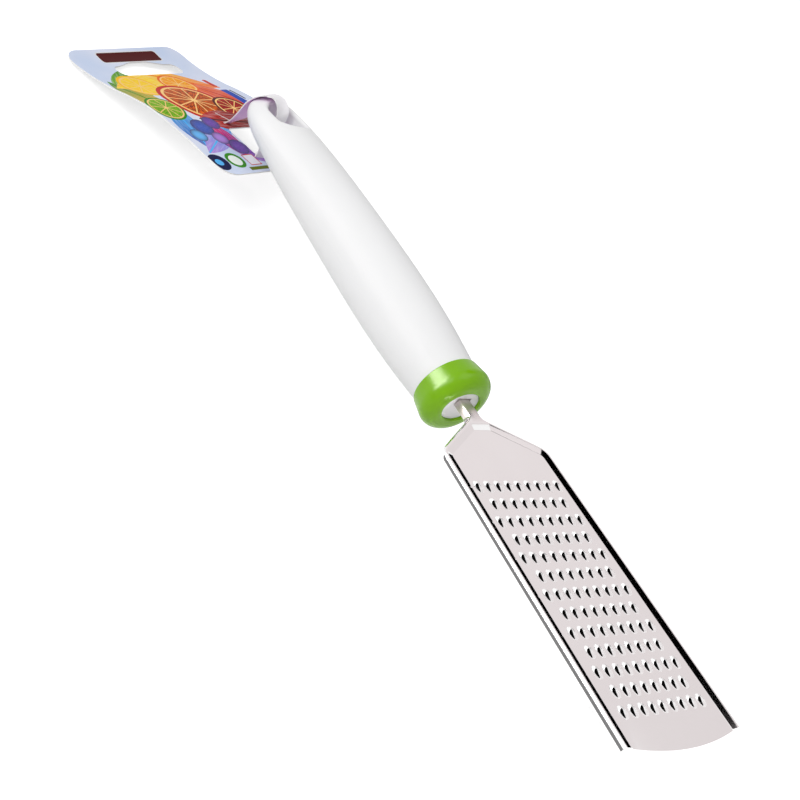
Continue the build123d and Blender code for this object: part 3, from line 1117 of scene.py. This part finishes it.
# Its two long edges in millimetres, from its slit over the tail's end bar and down the eyelet
STRAP_NEAR_EDGE = (
    (3.7, -21.2, -17.9), (4.0, -20.5, -15.8), (4.6, -18.8, -13.4), (5.4, -17.2, -10.5),
    (6.5, -15.4, -5.4), (7.4, -13.9, -0.4), (7.6, -11.6, 3.7), (7.0, -9.7, 6.2),
    (5.6, -8.3, 7.6), (4.1, -6.7, 7.8), (2.9, -4.6, 6.5), (2.4, -2.9, 4.0),
    (2.3, -2.0, 1.3), (2.3, -1.6, -2.5), (2.6, -0.8, -8.0), (3.0, 0.4, -14.2),
)
STRAP_FAR_EDGE = (
    (1.8, -21.6, -18.4), (2.0, -21.2, -16.6), (1.5, -20.2, -14.5), (0.3, -19.2, -12.3),
    (-1.5, -17.8, -8.9), (-2.4, -17.1, -3.0), (-2.5, -16.8, 1.6), (-2.5, -15.3, 3.9),
    (-2.5, -13.1, 5.6), (-2.5, -10.3, 6.9), (-2.5, -7.6, 7.3), (-2.5, -4.7, 6.6),
    (-2.5, -2.8, 4.5), (-2.5, -1.8, -1.5), (-2.5, -0.8, -7.5), (-2.5, 0.4, -14.2),
)
STRAP_ROWS, STRAP_COLUMNS = 75, 6


def edge_point(edge, place):
    """A point of an edge, place counted in its given points."""
    curves = [[(i, row[axis]) for i, row in enumerate(edge)] for axis in range(3)]
    return Vector([smooth_value(curve, place) * MM for curve in curves])


def make_strap():
    """The strap: up from the slit, over the tail's end bar and down through the eyelet."""
    tag = settings().tag
    vertices = []
    for row in range(STRAP_ROWS + 1):
        place = row / STRAP_ROWS * (len(STRAP_NEAR_EDGE) - 1)
        near, far = edge_point(STRAP_NEAR_EDGE, place), edge_point(STRAP_FAR_EDGE, place)
        vertices += [near.lerp(far, k / STRAP_COLUMNS) for k in range(STRAP_COLUMNS + 1)]
    faces = [(a, d, c, b) for a, b, c, d in grid_faces(STRAP_ROWS + 1, STRAP_COLUMNS + 1)]
    materials = [
        plastic_material("Strap Outside", tag.strap_outside, **STRAP_LOOK),
        plastic_material("Strap Print", tag.strap_inside, **STRAP_PRINT_LOOK),
        bpy.data.materials["Card Back"],
    ]
    piece = linked("hang_tag_strap", new_mesh("hang_tag_strap", vertices, faces, materials))
    thicken(piece, tag.strap_thickness, 0.0, material_offset=1, material_offset_rim=2)
    finish_piece(piece, "tag", "hang_tag")


# Studio


CAMERA_PLACE = (0.4392, 0.4073, 0.2872)
CAMERA_RIGHT = Vector((-0.6938, 0.4690, 0.5465))
CAMERA_FORWARD = Vector((-0.7197, -0.4803, -0.5014))
FLOOR_SIDES = (-4.0, 4.0, -4.0, 4.0)
FLOOR_GLOW = 0.55
AMBIENT = 0.42
FLOOR_CARD_GREY = 0.25
# Lamps: place, target, size in metres and the setting that holds its power
LAMPS = {
    "key_lamp": ((0.9, -0.1, 0.7), (0, 0.1, 0), (0.7, 0.9), "key_power"),
    "top_lamp": ((-0.1, 0.2, 1.1), (0, 0.12, 0), (0.8, 0.8), "top_power"),
}
# Curved cards that only gloss sees: azimuth from and to, elevation from and to in degrees,
# grey from and to, strength
CARDS = {
    "dark_card_low": (191, 210.5, 4, 13.5, 0.0, 0.0, 1.0),
    "dark_card_high": (200.5, 242, 44.5, 70, 0.0, 0.0, 1.0),
    "grey_card": (188, 216, 17.5, 35, 0.76, 0.86, 1.0),
    "grey_card_high": (198, 216, 35, 44, 0.78, 0.86, 1.0),
    "shoulder_card": (188, 201, 46, 62, 0.86, 0.86, 1.0),
    "bright_card": (298, 342, 2, 36, 1.0, 1.0, 22.0),
}
CARD_TINT = (1.0, 0.93, 0.935)
CARD_CENTRE_Y, CARD_DISTANCE = 0.2, 1.6
CARD_ACROSS, CARD_UP = 24, 8
# Cards that lie on the floor: lowest and highest x, lowest and highest y in metres
FLOOR_CARDS = {
    "floor_card_near": (0.10, 0.20, 0.0, 0.30),
    "floor_card_far": (-0.36, -0.09, -0.06, 0.12),
}


def make_studio():
    """Camera, floor, cards, lamps and world."""
    make_camera()
    bpy.context.scene.view_settings.view_transform = "Standard"
    make_floor()
    make_curved_cards()
    make_floor_cards()
    for name, row in LAMPS.items():
        add_lamp(name, *row)
    make_world()


def make_camera():
    """The camera that took the photo's view."""
    data = bpy.data.cameras.new("camera")
    data.sensor_width = 36.0
    data.lens = settings().studio.lens
    data.clip_start = 0.01
    data.clip_end = 50.0
    camera = linked("camera", data)
    bpy.context.scene.camera = camera
    forward = CAMERA_FORWARD.normalized()
    up = CAMERA_RIGHT.cross(forward).normalized()
    right = forward.cross(up).normalized()
    rows = zip(right, up, -forward, CAMERA_PLACE)
    camera.matrix_world = Matrix((*rows, (0, 0, 0, 1)))


def matt_material(name, base):
    """A material without gloss that can glow white: (material, tree, shader)."""
    material, tree, shader = new_material(name)
    set_inputs(shader, {"Base Color": base, "Specular IOR Level": 0.0, "Emission Color": 1.0})
    return material, tree, shader


def flat_card(name, material, sides, height):
    """A level rectangle: lowest and highest x, lowest and highest y."""
    low_x, high_x, low_y, high_y = sides
    flat = ((low_x, low_y), (high_x, low_y), (high_x, high_y), (low_x, high_y))
    corners = [(x, y, height) for x, y in flat]
    return linked(name, new_mesh(name, corners, [(0, 1, 2, 3)], [material]))


def make_floor():
    """A wide pale floor that keeps the shadow and shows white to camera and gloss."""
    studio = settings().studio
    material, tree, shader = matt_material("Studio Floor", studio.floor_colour)
    glow = seen_directly(tree, FLOOR_GLOW)
    set_inputs(shader, {"Roughness": 0.9, "Emission Strength": glow})
    flat_card("floor", material, FLOOR_SIDES, studio.floor_height)


def seen_directly(tree, strength):
    """Strength for camera, glossy and transmission rays, and nothing for the others."""
    rays = add_node(tree, "ShaderNodeLightPath").outputs
    camera, gloss, through = (
        Wire(rays[name]) for name in ("Is Camera Ray", "Is Glossy Ray", "Is Transmission Ray")
    )
    return maths("MAXIMUM", maths("MAXIMUM", camera, gloss), through) * strength


def make_curved_cards():
    """Curved cards round the blade that only reflections see: the dark and grey ones stand for the
    studio's flags in polished steel, and the bright one glows and puts a highlight on the collar and
    handle.
    """
    centre = Vector((0, CARD_CENTRE_Y, settings().studio.floor_height))
    columns, rows = range(CARD_ACROSS + 1), range(CARD_UP + 1)
    places = [(i / CARD_ACROSS, j / CARD_UP) for i in columns for j in rows]
    faces = grid_faces(len(columns), len(rows))
    for name, (turn_a, turn_b, rise_a, rise_b, grey_a, grey_b, strength) in CARDS.items():
        vertices = []
        for across, up in places:
            turn = math.radians(turn_a + (turn_b - turn_a) * across)
            rise = math.radians(rise_a + (rise_b - rise_a) * up)
            level = math.cos(rise)
            out = Vector((math.cos(turn) * level, math.sin(turn) * level, math.sin(rise)))
            vertices.append(centre + out * CARD_DISTANCE)
        material, tree, shader = matt_material("Studio Card " + name, 0.0)
        card = linked(name, new_mesh(name, vertices, faces, [material]))
        layer = card.data.uv_layers.new(name="Card")
        for loop in card.data.loops:
            layer.data[loop.index].uv = places[loop.vertex_index]
        place = wire(tree, "ShaderNodeUVMap", uv_map="Card")
        across = wire(tree, "ShaderNodeSeparateXYZ", {0: place})
        greys = enumerate((grey_a, grey_b))
        shade = ramp(across, [(at, [grey * part for part in CARD_TINT]) for at, grey in greys])
        set_inputs(shader, {"Emission Color": shade, "Emission Strength": strength})
        hide_from_all_but_gloss(card)


def make_floor_cards():
    """Grey cards on the floor that darken the lowest reflections."""
    height = settings().studio.floor_height + MM
    for name, sides in FLOOR_CARDS.items():
        material, _, _ = matt_material("Studio Card " + name, FLOOR_CARD_GREY)
        hide_from_all_but_gloss(flat_card(name, material, sides, height))


def hide_from_all_but_gloss(card):
    """Makes a card a stage piece that only reflections see."""
    for rays in ("camera", "diffuse", "shadow", "transmission", "volume_scatter"):
        setattr(card, "visible_" + rays, False)


def make_world():
    """White to camera and gloss, and a plain soft grey for the light it gives."""
    world = bpy.data.worlds.new("Studio World")
    bpy.context.scene.world = world
    world.use_nodes = True
    tree = world.node_tree
    light = maths("MULTIPLY_ADD", seen_directly(tree, 1.0), 1 - AMBIENT, AMBIENT)
    set_inputs(tree.nodes["Background"], {"Color": 1.0, "Strength": light})


def add_lamp(name, place, target, size, power_name):
    """A soft lamp at place, turned to target."""
    data = bpy.data.lights.new(name, "AREA")
    data.shape = "RECTANGLE"
    data.size, data.size_y = size
    data.energy = getattr(settings().studio, power_name)
    aim = (Vector(target) - Vector(place)).to_track_quat("-Z", "Y")
    linked(name, data).matrix_world = Matrix.Translation(place) @ aim.to_matrix().to_4x4()


# Pieces that stay as the CAD made them


def dress_node(node, material):
    """Gives a CAD node its material."""
    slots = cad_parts[node].data.materials
    slots.clear()
    slots.append(material)


def dress_handle():
    """Satin handle, its core and the gloss collar."""
    handle = settings().handle
    dress_node("handle_body", plastic_material("Handle Plastic", handle.plastic, **HANDLE_LOOK))
    dress_node("handle_core", plastic_material("Core Plastic", handle.core, **CORE_LOOK))
    dress_node("collar_ring", plastic_material("Collar Gloss", handle.collar, **COLLAR_LOOK))


# Operators and panel


class ZESTER_OT_studio(bpy.types.Operator):
    """Make the camera, floor, lamps and world"""

    bl_idname = "zester.studio"
    bl_label = "Studio"

    def execute(self, context):
        make_studio()
        return {"FINISHED"}


class ZESTER_OT_blade(bpy.types.Operator):
    """Make the stamped steel sheet"""

    bl_idname = "zester.blade"
    bl_label = "Blade"

    def execute(self, context):
        make_blade()
        return {"FINISHED"}


class ZESTER_OT_teeth(bpy.types.Operator):
    """Make the raised teeth"""

    bl_idname = "zester.teeth"
    bl_label = "Teeth"

    def execute(self, context):
        make_teeth()
        return {"FINISHED"}


class ZESTER_OT_handle(bpy.types.Operator):
    """Dress the handle, its core and the collar"""

    bl_idname = "zester.handle"
    bl_label = "Handle"

    def execute(self, context):
        dress_handle()
        return {"FINISHED"}


class ZESTER_OT_tag(bpy.types.Operator):
    """Make the printed card and its strap"""

    bl_idname = "zester.tag"
    bl_label = "Hang Tag"

    def execute(self, context):
        make_card()
        make_strap()
        return {"FINISHED"}


class ZESTER_PT_panel(bpy.types.Panel):
    """Settings and steps of the rasp zester"""

    bl_idname = "ZESTER_PT_panel"
    bl_label = "Rasp Zester"
    bl_space_type = "VIEW_3D"
    bl_region_type = "UI"
    bl_category = "Rasp Zester"

    def draw(self, context):
        groups = context.scene.rasp_zester
        for name in ("studio", "blade", "tooth", "handle", "tag"):
            group = getattr(groups, name)
            box = self.layout.box()
            for key in group.bl_rna.properties.keys():
                if key not in ("rna_type", "name"):
                    box.prop(group, key)
        for operator in OPERATORS:
            self.layout.operator(operator.bl_idname)


SETTINGS = (
    BladeSettings, ToothSettings, HandleSettings, TagSettings, StudioSettings, ZesterSettings
)
OPERATORS = (
    ZESTER_OT_studio, ZESTER_OT_blade, ZESTER_OT_teeth, ZESTER_OT_handle, ZESTER_OT_tag
)
CLASSES = SETTINGS + OPERATORS + (ZESTER_PT_panel,)


def register():
    """Registers the classes and puts the settings on the scene."""
    for item in CLASSES:
        bpy.utils.register_class(item)
    bpy.types.Scene.rasp_zester = PointerProperty(type=ZesterSettings)


def unregister():
    """Takes the settings off the scene and unregisters the classes."""
    del bpy.types.Scene.rasp_zester
    for item in reversed(CLASSES):
        bpy.utils.unregister_class(item)


def main():
    """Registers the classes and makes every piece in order."""
    register()
    bpy.ops.zester.studio()
    bpy.ops.zester.blade()
    bpy.ops.zester.teeth()
    bpy.ops.zester.handle()
    bpy.ops.zester.tag()


if __name__ == "__main__":
    main()
